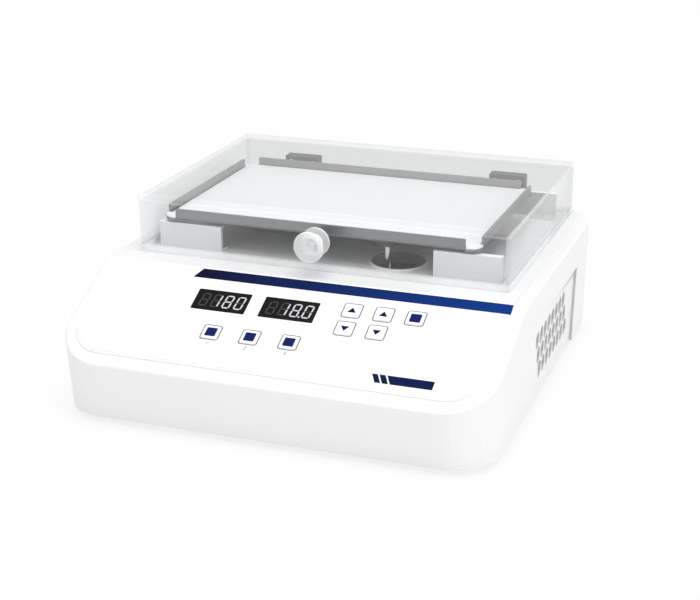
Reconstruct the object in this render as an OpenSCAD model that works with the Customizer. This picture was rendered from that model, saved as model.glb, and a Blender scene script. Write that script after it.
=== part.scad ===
// Bench-top orbital shaker with a clear hinged cover.
// Frame: X to the right, Y to the back, Z up. The origin is the middle of the
// footprint on the bench. All sizes are in millimetres.

/* [Housing] */
// Width of the housing
body_w = 338; // [334:1:350]
// Depth of the housing
body_d = 350; // [348:1:360]
// Height of the flat deck above the bench
deck_h = 98; // [96:0.5:104]
// Front-to-back length of the sloping control panel
panel_run = 98.7; // [96:0.1:99]
// Tilt of the control panel
panel_tilt = 25.5; // [23:0.5:27]
// Radius of the housing's corners in plan
corner_r = 38; // [34:1:42]
// Rounding of the housing's upper edge
edge_r = 2.2; // [1.5:0.1:2.8]
// Thickness of the housing's walls
wall = 2.8; // [2.4:0.1:3.2]
// How far the side walls lean in towards the foot
side_draft = 2.5; // [1:0.5:4]
// How far the front wall leans in towards the foot
front_draft = 7; // [4:0.5:9]
// Height of the raised field that holds the panel and the deck
step_h = 1; // [0.6:0.1:1.4]
// Width of the border round the raised field
step_inset = 9.5; // [8:0.5:11]

/* [Base] */
// Height of the rubber feet
foot_h = 5; // [4:0.5:7]
// Radius of the rubber feet
foot_r = 11; // [9:0.5:13]
// Distance of the feet from the housing's sides
foot_inset = 38; // [34:1:44]
// Thickness of the bottom plate
base_t = 2; // [1.5:0.1:2.5]
// Radius of the screw bosses in the corners
boss_r = 6; // [5:0.5:7]

/* [Side vents] */
// Distance of the vent pocket from the housing's front
pocket_setback = 141; // [138:1:146]
// Distance of the vent pocket from the housing's back
pocket_behind = 74; // [70:1:78]
// Depth of the vent pocket at its back end
pocket_depth = 2; // [1.5:0.1:3]
// Thickness of the wall at the back end of the vent pocket
vent_wall = 1.8; // [1.6:0.1:2.4]
// Height of the vent pocket's top edge above the bench
pocket_top = 69.5; // [66:0.5:72]
// Rows of slots
vent_rows = 3; // [2:1:3]
// Spacing of the slots along a row
vent_pitch = 13.4; // [12.8:0.1:14]
// Spacing of the rows
vent_row_pitch = 13.8; // [13.4:0.1:14.2]
// Width of one slot
vent_slot_w = 10.2; // [8:0.1:10.6]
// Height of one slot
vent_slot_l = 16.2; // [14:0.1:16.6]
// Height of the middle row above the bench
vent_z = 41; // [39:0.5:42]

/* [Cover] */
// Distance of the cover from the housing's sides
cover_side = 19; // [16:0.5:20]
// Distance of the cover from the housing's back
cover_behind = 15.3; // [15.2:0.1:17]
// Height of the clear cover
cover_h = 44.6; // [44:0.1:60]
// Thickness of the clear sheet
cover_t = 4; // [3:0.1:4.5]
// Distance of the cover from the top of the sloping panel
cover_setback = 20; // [19:0.5:21]
// Radius of the lifting knob's front flange
knob_r = 12; // [10:0.5:13]
// Length of the lifting knob
knob_len = 19; // [16:0.5:22]
// Height of the knob above the deck
knob_z = 23.8; // [20:0.1:26]

/* [Hinges] */
// Distance of each hinge's middle from the cover's side
hinge_inset = 56; // [50:1:74]
// Width of one hinge
hinge_w = 31; // [27:1:35]
// Height of the hinge clamps above the deck
hinge_top = 30; // [27:0.5:34]
// Thickness of the clamp blocks inside the cover
clamp_t = 4; // [3:0.1:4.5]
// Thickness of the hinge leaves
leaf_t = 1.6; // [1.2:0.1:1.8]
// Radius of the hinge knuckles
knuckle_r = 3.2; // [3:0.1:3.4]
// Radius of the hinge pins
hinge_pin_r = 1.5; // [1.2:0.1:1.7]
// Distance of the hinge pin behind the cover
hinge_back = 5.2; // [5.1:0.1:5.6]
// Height of the hinge pin above the deck
hinge_rise = 5; // [4.9:0.1:5.6]

/* [Chamber] */
// Thickness of the chamber floor
floor_t = 2; // [1.5:0.1:2.2]
// Width of the ledge that carries the chamber floor
ledge = 8; // [6:0.5:10]
// Radius of the rocker crank's hole in the floor
idler_hole_r = 20.9; // [19:0.1:23]
// Margin round the drive pin's sweep in its hole
drive_hole_margin = 6; // [5:0.5:8]
// Height of the collar below the floor's top
collar_drop = 8; // [6:0.5:9]
// Height of the lip above the floor
collar_lip = 1.2; // [0.8:0.1:1.6]
// Thickness of the collars
collar_t = 1.6; // [1.2:0.1:2]
// Height of the splash guards
guard_h = 20.5; // [18:0.5:21]
// Thickness of the splash guards
guard_t = 3; // [2:0.1:3.5]
// Distance of the splash guards from the cover's front and back
guard_end = 13.5; // [12:0.5:16]
// Distance of the splash guards from the cover's sides
guard_side = 6; // [4:0.5:8]
// Distance of the front splash guards from the front idler's collar
guard_clear = 12.5; // [6:0.5:16]

/* [Orbit] */
// Radius of the orbit
orbit_r = 9.5; // [8:0.1:10]
// Direction of the cranks at rest
rest_angle = 225; // [0:1:359]
// Distance of the right idlers from the tray's right edge
idler_right_in = 78; // [74:1:82]
// Distance of the front idler from the tray's front edge
idler_front_in = 18.5; // [16:0.5:22]
// Distance of the left idler from the tray's left edge
idler_left_in = 48; // [42:1:52]
// Radius of the drive crank's pin
drive_pin_r = 5; // [4:0.5:6]
// Radius of the idler pins
idler_pin_r = 2.4; // [2:0.1:3]
// Radius of the drive shaft
shaft_r = 6; // [5:0.5:7]
// Radius of the idler shafts
idler_shaft_r = 4; // [3.5:0.5:5]

/* [Tray] */
// Distance of the tray's middle position from the cover's sides
tray_side = 16; // [14:0.5:20]
// Distance of the tray's middle position from the cover's front and back
tray_end = 19; // [17:0.5:22]
// Height of the tray's underside above the deck
tray_rise = 22.5; // [21.8:0.1:24]
// Thickness of the tray's sheet
tray_t = 2; // [1.5:0.1:2.2]
// Height of the tray's lips over the deck
lip_top = 32; // [30:0.5:34]
// Length of the open corners beside the lips
notch = 11.5; // [11:0.5:16]
// Radius of the tray's corners
tray_corner_r = 9; // [6:0.5:10]
// Inner radius of the bends below the lips
bend_r = 1; // [0.6:0.1:1.5]
// Thickness of the non-slip mat
mat_t = 1.3; // [1:0.1:2]

/* [Control panel] */
// Thickness of the printed overlay
overlay_t = 0.4; // [0.3:0.05:0.6]
// Side of a key cap
key_side = 13.1; // [12:0.1:13.4]
// Radius of a key cap's corners
key_corner_r = 2; // [1.2:0.1:2.5]
// Height of a key cap above the overlay
key_rise = 0.6; // [0.6:0.1:1.2]
// Travel of a key
key_travel = 0.8; // [0.5:0.1:0.9]
// Gap round a key cap
key_gap = 0.35; // [0.25:0.05:0.5]
// Spacing of the speed and time keys along the panel
key_pitch = 24.2; // [22:0.1:26]
// Position of the first arrow key to the right of the middle
key_x = 44.8; // [43:0.1:47]
// Distance of the upper keys below the top of the panel
key_v = 26.8; // [26:0.1:28]
// Distance between the upper and lower arrow keys
key_drop = 18.3; // [17.5:0.1:19]
// Position of the first program key
program_x = -52.4; // [-54:0.1:-50]
// Spacing of the program keys
program_pitch = 30.7; // [29:0.1:32]
// Distance of the program keys below the top of the panel
program_v = 65.3; // [64:0.1:67]
// Width of a display window
display_w = 43.3; // [42:0.1:45]
// Height of a display window
display_h = 21.1; // [20:0.1:22]
// Position of the first display window
display_x = -56.8; // [-58:0.1:-56]
// Spacing of the display windows
display_pitch = 54.3; // [53:0.1:56]
// Distance of the display windows below the top of the panel
display_v = 33.4; // [32:0.1:34]

/* [Drive] */
// Height of the drive plate's top above the bench
plate_top = 43; // [42:0.5:44]
// Thickness of the drive plate
plate_t = 3; // [2.5:0.1:3.5]
// Radius of the driven pulley's belt seat
driven_r = 36; // [33:0.5:38]
// Radius of the motor pulley's belt seat
motor_pulley_r = 12; // [10:0.5:13]
// Width of the belt
belt_w = 8; // [7:0.5:9]
// Thickness of the belt
belt_t = 1.4; // [1.2:0.1:1.8]
// Sideways distance of the motor from the drive shaft
motor_x = -56; // [-60:1:-52]
// Distance of the motor in front of the drive shaft
motor_y = 62; // [58:1:66]
// Radius of the motor's body
motor_r = 28; // [25:0.5:29]
// Length of the motor's body
motor_len = 44; // [38:0.5:46]
// Radius of the motor's shaft
motor_shaft_r = 3; // [2.5:0.1:3.5]

/* [Back panel] */
// Distance of the mains inlet from the housing's side
inlet_side = 85; // [80:1:90]
// Distance between the mains inlet and the power switch
switch_pitch = 40; // [36:1:46]
// Height of the inlet and the switch above the bench
socket_z = 38; // [34:0.5:42]
// Depth of the recess that holds them
recess_t = 2; // [1.5:0.1:2.4]
// Swing of the power switch's rocker to each side of level
rocker_swing = 9; // [7:0.5:10]

/* [Clearances] */
// Gap between neighbouring pieces that don't touch
gap = 0.3; // [0.2:0.05:0.4]
// Radial clearance of a turning shaft
run_fit = 0.05; // [0.03:0.01:0.08]

/* [Hidden] */

$fn = 48;
eps = 0.01;

front_y = -body_d / 2;
back_y = body_d / 2;
crease_y = front_y + panel_run;
side_lean = atan(side_draft / (deck_h - foot_h));
foot_corner_r = corner_r - 4;
skin = wall + step_h;

pocket_len = body_d - pocket_setback - pocket_behind;
vent_cols = floor((pocket_len - 20) / vent_pitch);

cover_w = body_w - 2 * cover_side;
cover_d = body_d - panel_run - cover_setback - cover_behind;
cover_front = crease_y + cover_setback;
cover_back = cover_front + cover_d;
centre_y = cover_front + cover_d / 2;
hinge_y = cover_back + hinge_back;
hinge_z = deck_h + hinge_rise;

floor_w = cover_w - cover_t;
floor_d = cover_d - cover_t;
guard_span = floor_d - cover_t - 2 * guard_end;
guard_reach = floor_w - cover_t - 2 * guard_side;
tray_w = floor_w - cover_t - 2 * tray_side;
tray_d = floor_d - cover_t - 2 * tray_end;

drive_hole_r = orbit_r + drive_pin_r + drive_hole_margin;
collar_r = idler_hole_r + collar_t;
idler_x = tray_w / 2 - idler_right_in;
idler_front = tray_d / 2 - idler_front_in;
idler_back = guard_span / 2 - guard_t - collar_r - 5;
idler_left = tray_w / 2 - idler_left_in;
guard_w = guard_reach / 2 - idler_x - collar_r - guard_clear;
shift = [orbit_r * cos(rest_angle), orbit_r * sin(rest_angle)];
drive_at = [0, centre_y];
idlers = [[idler_x, centre_y - idler_front], [idler_x, centre_y + idler_back], [-idler_left, centre_y]];
motor_at = [motor_x, centre_y - motor_y];

tray_z = deck_h + tray_rise;
web_top = deck_h - 12;
web_t = 8;
idler_web_t = 5;
idler_web_r = orbit_r + idler_pin_r + 4;
drive_bearing = [shaft_r, 14, 8];
idler_bearing = [idler_shaft_r, 11, 7];
drive_pin_bearing = [drive_pin_r, 13, 8];
idler_pin_bearing = [idler_pin_r, 7, 5];
belt_z = plate_top - plate_t - 6 - belt_w;

key_open = key_side + 2 * key_gap;
key_flange = key_open + 2;
key_flange_t = 1.2;
key_bottom = -skin - 1.5 * gap - key_flange_t;
board_level = -skin - 8.6;
board_t = 1.6;
lens_t = 2;
window_fit = 0.1;

// Bottom plate, feet, posts and supply
vent_y0 = front_y + pocket_setback;
base_top = foot_h + base_t;
foot_web = 2;
boss_h = 24;
boss_hole = 20;
feet = [for (sx = [-1, 1], sy = [-1, 1]) [sx * (body_w / 2 - foot_inset), sy * (body_d / 2 - foot_inset)]];
post_r = 5;
post_x = idler_left + 18;
post_front = motor_y + motor_r + 6;
post_back = idler_back + 18;
posts = [for (sx = [-1, 1], y = [-post_front, post_back]) [sx * post_x, centre_y + y]];
supply_board = [50, 92, 1.6];
supply_lift = 5;
supply_at = [body_w / 2 - supply_board[0] / 2 - 22, centre_y];

// Drive plate and the windows that lighten it: middle, width and depth
plate_edge = 12;
plate_half = max(post_x + plate_edge, motor_r - motor_x + 2);
window_y = 24;
window_len = post_back + plate_edge - 10 - window_y;
plate_windows = [[-post_x / 2 - 2, window_y + window_len / 2, post_x - 40, window_len],
    [(idler_x + motor_x) / 2, -motor_y + 2, idler_x - motor_x - 72, 44], [post_x - 12, 0, 26, 90]];

// Screws: radius of the thread, radius and height of the head
small_screw = [1.2, 2.4, 1.6];
screw_m3 = [1.5, 2.8, 1.6];
screw_m4 = [2, 3.7, 1.8];
screw_play = 0.2;

// Corner bosses on the diagonals of the skirt's corners
boss_points = [for (sx = [-1, 1], sy = [-1, 1]) let(
    cx = body_w / 2 - side_draft - foot_corner_r,
    cy = sy < 0 ? front_y + front_draft + foot_corner_r : back_y - foot_corner_r,
    reach = (foot_corner_r - wall - boss_r + 1) * cos(45))
    [sx * (cx + reach), cy + sy * reach]];

// Control board: its edges on the panel, and its bosses
board_x = [display_x - display_w / 2 - 22, key_x + 2 * key_pitch + key_side / 2 + 22];
board_v = [key_v - key_side / 2 - 11, program_v + key_side / 2 + 9];
board_mid = [(board_x[0] + board_x[1]) / 2, (board_v[0] + board_v[1]) / 2];
board_in = 7;
board_between = (display_x + display_pitch + display_w / 2 + key_x - key_side / 2) / 2;
board_bosses = [for (x = [board_x[0] + board_in, board_between, board_x[1] - board_in],
    v = [board_v[0] + board_in, board_v[1] - board_in]) [x, v]];

// Bearing housings and hubs
cup_flange = 8.5;
cup_foot = 4;
drive_cup_len = 32;
idler_cup_len = 20;
hub_wall = 3;
hub_flange = 5.5;
hub_flange_t = 1.5;

// Splash guards: the turned-in foot, and its holes from the end and from the face
guard_foot = 12;
guard_foot_t = 1.5;
guard_hole = [10, 8];
guard_tab = 2 * guard_hole[0];

// Hinges
hinge_span = cover_w - 2 * hinge_inset;
knuckle_len = 13;
hinge_screw_x = hinge_w / 2 - 5;
hinge_screw_y = hinge_y + knuckle_r + 1.6;
hinge_foot_t = hinge_rise - knuckle_r - gap;
hinge_tail = 7.2;
// Webs end inside the knuckle, clear of its bore
knuckle_web = hinge_pin_r + 0.25;
web_half = knuckle_r * 0.78;
lid_screw_z = [12, hinge_top - 6];
clamp_foot = 4;
clamp_h = hinge_top - clamp_foot;
clamp_field = 0.8;

// Back panel
inlet_x = body_w / 2 - inlet_side;
switch_x = inlet_x - switch_pitch;
socket_w = [28, 20];
inlet_depth = 16;
inlet_body = 20;
switch_w = [12.4, 18.8];
switch_wall = 1;
switch_depth = 16;
rocker_pin_r = 1.2;
rocker_pin_y = back_y - recess_t - 4;
fuse_x = inlet_x + 32;
fuse_r = 6;
recess_x = (fuse_x + switch_x) / 2;
recess_w = fuse_x - switch_x + 26;
recess_h = 36;
recess_corner_r = 3;

// Half the housing's width at a height, with the lean of its sides
function half_w(z) = body_w / 2 - side_draft * (deck_h - z) / (deck_h - foot_h);

// Turn between two neighbours of the balls that make a corner
corner_step = 7.5;

// Height of the panel and the deck
function skin_z(y) = y > crease_y ? deck_h : deck_h - (crease_y - y) * tan(panel_tilt);

// A point of the upper edge, held in by the same distance from all faces
function rim_point(sx, sy, t, held) = let(
    inset = corner_r - (corner_r - held) * sin(t),
    y = sy < 0 ? front_y + inset : back_y - inset,
    z = skin_z(y) - step_h - (sy < 0 ? held / cos(panel_tilt) : held))
    [sx * (half_w(z) - corner_r + (corner_r - held) * cos(t)), y, z];

module rounded_rect(w, d, r) {
    square([w - 2 * r, d], center = true);
    square([w, d - 2 * r], center = true);
    for (sx = [-1, 1], sy = [-1, 1])
        translate([sx * (w / 2 - r), sy * (d / 2 - r)]) circle(r);
}

module block(w, d, h, r) {
    linear_extrude(h) rounded_rect(w, d, r);
}

// Local frame on the panel: X to the right, Y down the slope, Z out of the face
module on_panel(x, v, w = 0) {
    translate([0, crease_y, deck_h]) rotate([panel_tilt, 0, 0]) translate([x, -v, w]) children();
}

// Local frame on a side wall: X out of the wall, Y to the back, Z up the wall
module on_side(s) {
    mirror([s < 0 ? 1 : 0, 0, 0])
        translate([half_w(foot_h), 0, foot_h]) rotate([0, side_lean, 0]) children();
}

module at(p, z = 0) {
    translate([p[0], p[1], z]) children();
}

// A screw with a hexagon socket: its shaft goes up from 0, its head down
module screw(size, len) {
    cylinder(r = size[0], h = len);
    translate([0, 0, -size[2]]) difference() {
        cylinder(r = size[1], h = size[2]);
        translate([0, 0, -eps]) cylinder(r = size[0] * 0.75, h = size[2] * 0.6, $fn = 6);
    }
}

// Housing

module skirt_outline(held) {
    translate([0, front_draft / 2])
        rounded_rect(body_w - 2 * side_draft - 2 * held, body_d - front_draft - 2 * held, foot_corner_r - held);
}

module housing_form(held, ball, sides) {
    reach = held + ball;
    hull() {
        translate([0, 0, foot_h - (held > 0 ? 1 : 0)]) linear_extrude(0.1) skirt_outline(held);
        for (sx = [-1, 1], sy = [-1, 1], t = [0:corner_step:90])
            translate(rim_point(sx, sy, t, reach)) sphere(ball, $fn = sides);
        for (sx = [-1, 1])
            translate([sx * (half_w(deck_h) - reach), crease_y + reach * tan(panel_tilt / 2),
                deck_h - step_h - reach]) sphere(ball, $fn = sides);
    }
}

// The raised field: a band that follows the slope and the deck
module raised_field(side_in, top, bottom) {
    back_in = edge_r + 0.6;
    intersection() {
        translate([0, (side_in - back_in) / 2, 0])
            linear_extrude(deck_h + 10)
                rounded_rect(body_w - 2 * side_in, body_d - side_in - back_in, corner_r - side_in);
        rotate([90, 0, 90]) translate([0, 0, -body_w / 2]) linear_extrude(body_w)
            polygon([[back_y, deck_h + top], [crease_y - top * tan(panel_tilt / 2), deck_h + top],
                [front_y, skin_z(front_y) + top / cos(panel_tilt)],
                [front_y, skin_z(front_y) + bottom / cos(panel_tilt)],
                [crease_y - bottom * tan(panel_tilt / 2), deck_h + bottom], [back_y, deck_h + bottom]]);
    }
}

module vent_slot() {
    w = vent_slot_w / 2;
    l = vent_slot_l / 2;
    point = vent_slot_w * 0.45;
    rotate([0, 90, 0]) translate([0, 0, -pocket_depth - 2 * wall]) linear_extrude(pocket_depth + 3 * wall)
        polygon([[l, 0], [l - point, w], [point - l, w], [-l, 0], [point - l, -w], [l - point, -w]]);
}

module vent_pocket() {
    translate([0, 0, -foot_h])
        linear_extrude(pocket_top)
            polygon([[0, vent_y0], [wall, vent_y0], [wall, vent_y0 + pocket_len],
                [-pocket_depth, vent_y0 + pocket_len]]);
}

// The wall behind the pocket; grown by a clearance, it notches the bottom plate
module vent_backing(grow = 0) {
    inner = -pocket_depth - vent_wall - grow;
    end = vent_y0 + pocket_len + wall + grow;
    translate([0, 0, -grow]) linear_extrude(pocket_top - foot_h + wall)
        polygon([[-wall / 2, vent_y0], [-vent_wall - grow, vent_y0], [inner, vent_y0 + pocket_len],
            [inner, end], [-wall / 2, end]]);
}

// Slots in rows that step back by half a spacing from the top row to the lowest
module vent_slots() {
    for (row = [0:vent_rows - 1], col = [0:vent_cols - 1])
        translate([0, vent_y0 + (col + (vent_rows - 1 - row) / 2) * vent_pitch,
            vent_z - foot_h + (row - (vent_rows - 1) / 2) * vent_row_pitch]) vent_slot();
}

module key_places() {
    for (p = [[key_x, key_v], [key_x + key_pitch, key_v], [key_x + 2 * key_pitch, key_v],
            [key_x, key_v + key_drop], [key_x + key_pitch, key_v + key_drop],
            [program_x, program_v], [program_x + program_pitch, program_v],
            [program_x + 2 * program_pitch, program_v]])
        on_panel(p[0], p[1]) children();
}

module display_places() {
    for (i = [0, 1]) on_panel(display_x + i * display_pitch, display_v) children();
}

module upper_housing() {
    color("whitesmoke") difference() {
        union() {
            difference() {
                housing_form(0, edge_r, 16);
                housing_form(wall, 0.6, 8);
            }
            raised_field(step_inset, 0, -step_h - wall / 2);
            for (s = [-1, 1]) on_side(s) vent_backing();
            for (p = boss_points) at(p, base_top) cylinder(r = boss_r, h = boss_h);
            // Wall behind the recess of the back panel
            translate([recess_x, back_y - wall / 2, socket_z]) rotate([90, 0, 0])
                block(recess_w + 2 * wall, recess_h + 2 * wall, recess_t + wall / 2, recess_corner_r);
            for (b = board_bosses)
                on_panel(b[0], b[1], board_level) cylinder(r = 3.5, h = -board_level - wall / 2);
        }
        for (s = [-1, 1]) on_side(s) {
            vent_pocket();
            vent_slots();
        }
        // Opening and rebate for the chamber floor
        translate([0, centre_y, deck_h - skin - 2])
            block(floor_w - 2 * ledge, floor_d - 2 * ledge, skin + 4, 6);
        translate([0, centre_y, deck_h - floor_t]) block(floor_w + 2 * gap, floor_d + 2 * gap, floor_t + 1, 4);
        // Openings for the keys and the displays
        key_places() translate([0, 0, -skin - 2])
            block(key_open, key_open, skin + 4, key_corner_r + key_gap);
        display_places() translate([0, 0, -skin - 2]) block(display_w, display_h, skin + 4, 1);
        // Screw holes of the bosses
        for (p = boss_points) at(p, foot_h) cylinder(r = screw_m3[0], h = boss_hole);
        for (b = board_bosses) on_panel(b[0], b[1], board_level - 1) cylinder(r = small_screw[0], h = 8);
        // Screw holes below the hinge leaves
        hinge_places() for (s = [-1, 1])
            translate([s * hinge_screw_x, hinge_screw_y, deck_h - skin - 1])
                cylinder(r = screw_m3[0], h = skin + 2);
        // Recess and cut-outs in the back wall
        translate([recess_x, back_y - recess_t, socket_z]) rotate([-90, 0, 0])
            block(recess_w, recess_h, recess_t + 1, recess_corner_r);
        for (c = [[inlet_x, socket_w[0], socket_w[1]], [switch_x, switch_w[0] + 2 * gap, switch_w[1] + 2 * gap]])
            translate([c[0], back_y - 12, socket_z]) rotate([-90, 0, 0]) block(c[1], c[2], 14, 1);
        translate([fuse_x, back_y - 12, socket_z]) rotate([-90, 0, 0]) cylinder(r = fuse_r + gap, h = 14);
    }
}

module bottom_plate() {
    color("silver") difference() {
        translate([0, 0, foot_h]) linear_extrude(base_t) skirt_outline(wall + gap);
        for (s = [-1, 1]) on_side(s) vent_backing(gap);
        for (p = boss_points) at(p, foot_h - 1) cylinder(r = screw_m3[0] + screw_play, h = base_t + 2);
        for (p = concat(feet, posts)) at(p, foot_h - 1) cylinder(r = screw_m4[0] + screw_play, h = base_t + 2);
        // Louvres below the motor and the power supply
        for (p = [motor_at, supply_at], i = [-3:3])
            translate([p[0], p[1] + i * 9, foot_h - 1]) block(30, 4, base_t + 2, 1.9);
    }
}

module rubber_feet() {
    color("dimgray") for (p = feet) at(p) difference() {
        union() {
            cylinder(r1 = foot_r - 1, r2 = foot_r, h = foot_h / 2);
            translate([0, 0, foot_h / 2]) cylinder(r = foot_r, h = foot_h / 2);
        }
        translate([0, 0, -eps]) cylinder(r = screw_m4[1] + 0.9, h = foot_h - foot_web + eps);
        cylinder(r = screw_m4[0] + screw_play, h = foot_h + 1);
    }
}

// Screws of the feet, of the housing's bosses and of the posts
module base_screws() {
    color("silver") {
        for (p = feet) at(p, foot_h - foot_web) screw(screw_m4, base_t + foot_web + 3);
        for (p = boss_points) at(p, foot_h) screw(screw_m3, base_t + 12);
        for (p = posts) at(p, foot_h) screw(screw_m4, base_t + 8);
    }
}

// Chamber

module chamber_floor() {
    color("whitesmoke") difference() {
        union() {
            translate([0, centre_y, deck_h - floor_t]) block(floor_w, floor_d, floor_t, 4);
            at(drive_at, deck_h - collar_drop)
                cylinder(r = drive_hole_r + collar_t, h = collar_drop + collar_lip);
            for (p = idlers) at(p, deck_h - collar_drop)
                cylinder(r = collar_r, h = collar_drop + collar_lip);
        }
        at(drive_at, deck_h - collar_drop - 1) cylinder(r = drive_hole_r, h = collar_drop + 4);
        for (p = idlers) at(p, deck_h - collar_drop - 1) cylinder(r = idler_hole_r, h = collar_drop + 4);
        guard_holes() translate([0, 0, deck_h - floor_t - 1]) cylinder(r = screw_m3[0], h = floor_t + 2);
    }
}

// One splash guard: an upright plate with a foot, or a tab at each end, turned in below the tray
module guard(w, tab) {
    difference() {
        union() {
            translate([-w / 2, 0, 0]) cube([w, guard_t, guard_h]);
            for (x = tab < w ? [-w / 2, w / 2 - tab] : [-w / 2]) translate([x, 0, 0])
                cube([tab, guard_foot, guard_foot_t]);
        }
        for (s = [-1, 1]) translate([s * (w / 2 - guard_hole[0]), guard_hole[1], -1])
            cylinder(r = screw_m3[0] + screw_play, h = guard_foot_t + 2);
    }
}

module front_guard_place(s) {
    translate([s * (guard_reach - guard_w) / 2, centre_y - guard_span / 2, deck_h]) children();
}

module back_guard_place() {
    translate([0, centre_y + guard_span / 2, deck_h]) rotate(180) children();
}

module guard_holes() {
    for (s = [-1, 1]) {
        translate([0, 0, -deck_h]) front_guard_place(s)
            for (e = [-1, 1]) translate([e * (guard_w / 2 - guard_hole[0]), guard_hole[1], 0]) children();
        translate([0, 0, -deck_h]) back_guard_place()
            translate([s * (guard_reach / 2 - guard_hole[0]), guard_hole[1], 0]) children();
    }
}

module front_guard_left() {
    color("white") front_guard_place(-1) guard(guard_w, guard_w);
}

module front_guard_right() {
    color("white") front_guard_place(1) guard(guard_w, guard_w);
}

module back_guard() {
    color("white") back_guard_place() guard(guard_reach, guard_tab);
}

module guard_screws() {
    color("silver") guard_holes() translate([0, 0, deck_h + guard_foot_t])
        mirror([0, 0, 1]) screw(screw_m3, floor_t + guard_foot_t + 2);
}

// Control panel

module control_overlay() {
    side = step_inset + 1.5;
    color("white") difference() {
        intersection() {
            raised_field(side, overlay_t, 0);
            translate([-body_w / 2, front_y, 0]) cube([body_w, panel_run - 0.6, deck_h + 10]);
        }
        key_places() translate([0, 0, -1]) block(key_open, key_open, 3, key_corner_r + key_gap);
        display_places() translate([0, 0, -1]) block(display_w, display_h, 3, 1);
    }
}

module display_windows() {
    color("black") display_places()
        translate([0, 0, overlay_t - window_fit - lens_t])
            block(display_w - 2 * window_fit, display_h - 2 * window_fit, lens_t, 1 - window_fit);
}

module display_modules() {
    top = overlay_t - window_fit - lens_t - gap;
    color("dimgray") display_places() difference() {
        translate([0, 0, board_level]) block(40.2, 16, top - board_level, 0.5);
        // Four digit fields sunk in the face
        for (i = [-1.5, -0.5, 0.5, 1.5])
            translate([i * 10, 0, top - 0.3]) block(8.6, 13.4, 1, 0.4);
    }
}

module control_board() {
    color("seagreen") difference() {
        on_panel(board_mid[0], board_mid[1], board_level - board_t)
            block(board_x[1] - board_x[0], board_v[1] - board_v[0], board_t, 2);
        for (b = board_bosses)
            on_panel(b[0], b[1], board_level - board_t - 1)
                cylinder(r = small_screw[0] + screw_play, h = board_t + 2);
    }
    // Processor and plug headers on the underside
    color("dimgray") for (c = [[-28, 5, 14, 14, 2.2], [52, 21, 24, 6, 7], [-78, 10, 16, 6, 7]])
        on_panel(board_mid[0] + c[0], board_mid[1] + c[1], board_level - board_t - c[4])
            block(c[2], c[3], c[4], 0.6);
}

module key_switches() {
    plunger_top = key_bottom - key_travel - 0.1;
    color("dimgray") key_places() {
        translate([0, 0, board_level]) block(12, 12, plunger_top - 1.4 - board_level, 0.8);
        translate([0, 0, plunger_top - 1.4 - eps]) cylinder(r = 3.4, h = 1.4 + eps);
    }
}

module board_screws() {
    color("silver") for (b = board_bosses)
        on_panel(b[0], b[1], board_level - board_t) screw(small_screw, board_t + 6);
}

module key_cap() {
    top = overlay_t + key_rise;
    edge = 0.4;
    block(key_flange, key_flange, key_flange_t, 1.2);
    block(key_side, key_side, top - key_bottom - edge, key_corner_r);
    block(key_side - 2 * edge, key_side - 2 * edge, top - key_bottom, key_corner_r - edge);
}

module key(x, v) {
    color("white") on_panel(x, v, key_bottom) key_cap();
}

module key_time_up() { key(key_x, key_v); }
module key_time_down() { key(key_x, key_v + key_drop); }
module key_speed_up() { key(key_x + key_pitch, key_v); }
module key_speed_down() { key(key_x + key_pitch, key_v + key_drop); }
module key_start() { key(key_x + 2 * key_pitch, key_v); }
module key_program_1() { key(program_x, program_v); }
module key_program_2() { key(program_x + program_pitch, program_v); }
module key_program_3() { key(program_x + 2 * program_pitch, program_v); }

// Power supply on the bottom plate

module power_supply() {
    half = supply_board / 2;
    at(supply_at, base_top) {
        color("silver") for (sx = [-1, 1], sy = [-1, 1])
            translate([sx * (half[0] - 5), sy * (half[1] - 6), 0]) cylinder(r = 2.5, h = supply_lift);
        color("seagreen") translate([0, 0, supply_lift]) block(supply_board[0], supply_board[1], supply_board[2], 1);
        translate([0, 0, supply_lift + supply_board[2]]) {
            // Transformer, two capacitors, the heat sink's fins and the plug
            color("goldenrod") translate([19 - half[0], 24 - half[1], 0]) block(28, 32, 22, 1.5);
            color("dimgray") for (s = [-1, 1]) translate([s * 10, half[1] - 32, 0]) cylinder(r = 8, h = 20);
            color("silver") for (i = [0:4]) translate([7 - half[0] + i * 5, half[1] - 12, 0]) cube([1.6, 10, 18]);
            color("green") translate([half[0] - 7, 6 - half[1], 0]) block(10, 10, 10, 0.5);
        }
    }
}

// Drive

module drive_plate() {
    color("silver") difference() {
        translate([0, centre_y + (post_back - post_front) / 2, plate_top - plate_t])
            block(2 * plate_half, post_front + post_back + 2 * plate_edge, plate_t, 8);
        for (p = posts) at(p, plate_top - plate_t - 1) cylinder(r = screw_m4[0] + screw_play, h = plate_t + 2);
        at(drive_at, plate_top - plate_t - 1) cylinder(r = shaft_r + 2, h = plate_t + 2);
        at(motor_at, plate_top - plate_t - 1) cylinder(r = motor_shaft_r + 3, h = plate_t + 2);
        motor_screw_places() cylinder(r = screw_m3[0] + screw_play, h = plate_t + 2);
        cup_screw_places() translate([0, 0, -plate_t - 1])
            cylinder(r = small_screw[0] + screw_play, h = plate_t + 2);
        for (c = plate_windows)
            translate([c[0], centre_y + c[1], plate_top - plate_t - 1]) block(c[2], c[3], plate_t + 2, 5);
    }
}

module motor_screw_places() {
    for (a = [45:90:315])
        at(motor_at, plate_top - plate_t - 1) rotate(a) translate([motor_r - 7, 0, 0]) children();
}

module drive_posts() {
    len = plate_top - plate_t - base_top;
    color("silver") for (p = posts) at(p, base_top) difference() {
        cylinder(r = post_r, h = len);
        for (z = [-1, len - 11]) translate([0, 0, z]) cylinder(r = screw_m4[0], h = 12);
    }
}

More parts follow.
